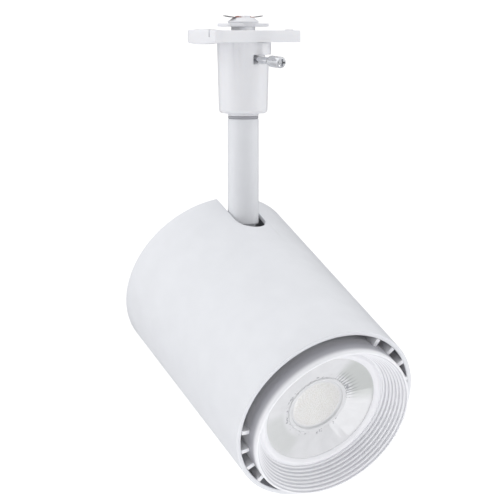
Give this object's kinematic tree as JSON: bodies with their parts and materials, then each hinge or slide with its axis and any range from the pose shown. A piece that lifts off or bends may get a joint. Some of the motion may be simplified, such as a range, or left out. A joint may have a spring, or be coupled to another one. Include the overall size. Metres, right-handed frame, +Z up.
{
  "type": "track spotlight",
  "caption": "Tubular track spotlight: a twist-lock track adapter, a turning stem, and a tilting white head with a stepped front baffle and a lens.",
  "frame": {"origin": "on the stem's axis, at the adapter plate's top face, which meets the underside of the track", "axes": "+Z up along the stem into the track, X along the track, -Y the way the light points at rest"},
  "size_m": [0.09, 0.1485, 0.2192],
  "materials": {
    "white_paint": "white powder coat on aluminium, fine satin texture",
    "white_plastic": "white moulded polycarbonate, semi-gloss",
    "baffle_plastic": "white fine matt, with a dark grey flank below the lip",
    "clear_optic": "clear moulded acrylic, polished with a frosted dome",
    "chrome": "bright chrome plate",
    "zinc_steel": "bright zinc plate",
    "spring_steel": "blued spring steel",
    "contact_copper": "phosphor bronze, tarnished",
    "black_nylon": "black nylon",
    "grey_nylon": "grey nylon",
    "cast_sink": "dark anodised aluminium, blasted",
    "grey_pad": "grey silicone pad",
    "board_white": "white solder mask on aluminium",
    "phosphor": "yellow phosphor gel",
    "black_plastic": "black moulded plastic, fine texture",
    "silicone": "translucent silicone",
    "board_green": "green laminate",
    "ferrite": "dark ferrite",
    "winding_tape": "yellow tape over copper wire",
    "capacitor_sleeve": "black shrink sleeve",
    "chip_epoxy": "black epoxy",
    "wire_sheath": "white PVC insulation"
  },
  "bodies": {
    "adapter": {"adapter_plate": "white_plastic", "adapter_body": "white_plastic", "drum_spring_washer": "spring_steel", "insulating_disc": "white_plastic", "pan_collar": "white_plastic", "pan_friction_washer": "grey_nylon", "pan_stop_pin": "zinc_steel"},
    "contact_head": {"contact_drum": "white_plastic", "lever_pin": "chrome", "lever_knob": "chrome", "detent_ball": "zinc_steel", "detent_spring": "spring_steel", "locking_wings": "white_plastic", "contact_carrier": "white_plastic", "live_contact": "contact_copper", "neutral_contact": "contact_copper", "contact_rivets": "contact_copper", "contact_leads": "wire_sheath"},
    "stem": {"stem_nipple": "zinc_steel", "nipple_plug": "zinc_steel", "pan_stop_washer": "zinc_steel", "nipple_nut": "zinc_steel", "stem_tube": "white_paint", "stem_knuckle": "zinc_steel", "knuckle_grub_screw": "zinc_steel", "supply_leads": "wire_sheath"},
    "head": {"hinge_bracket": "zinc_steel", "bracket_screws": "zinc_steel", "hinge_bolt": "zinc_steel", "hinge_spring_washer": "zinc_steel", "hinge_nut": "zinc_steel", "hinge_friction_washers": "black_nylon", "housing": "white_paint", "housing_screws": "zinc_steel", "rear_cover": "white_paint", "rear_cover_screws": "zinc_steel", "heat_sink": "cast_sink", "thermal_pad": "grey_pad", "led_board": "board_white", "led_emitter": "phosphor", "led_holder": "white_plastic", "led_board_screws": "zinc_steel", "optic_carrier": "white_plastic", "carrier_screws": "zinc_steel", "lens": "clear_optic", "lens_ring": "silicone", "baffle": "baffle_plastic", "baffle_clips": "spring_steel", "driver_case": "black_plastic", "driver_lid": "black_plastic", "driver_board": "board_green", "transformer_core": "ferrite", "transformer_winding": "winding_tape", "input_capacitor": "capacitor_sleeve", "output_capacitor": "capacitor_sleeve", "inductor": "ferrite", "driver_chips": "chip_epoxy", "driver_terminals": "black_nylon", "driver_leads": "wire_sheath", "led_leads": "wire_sheath"}
  },
  "joints": [
    {"name": "lever_twist", "type": "hinge", "parent": "adapter", "child": "contact_head", "pos_m": [0, 0, 0], "axis": [0, 0, 1], "range_deg": [0, 90]},
    {"name": "stem_pan", "type": "hinge", "parent": "adapter", "child": "stem", "pos_m": [0, 0, 0], "axis": [0, 0, 1], "range_deg": [-170, 170]},
    {"name": "head_tilt", "type": "hinge", "parent": "stem", "child": "head", "pos_m": [0, 0, -0.0997], "axis": [1, 0, 0], "range_deg": [-27.3, 62.7]}
  ]
}
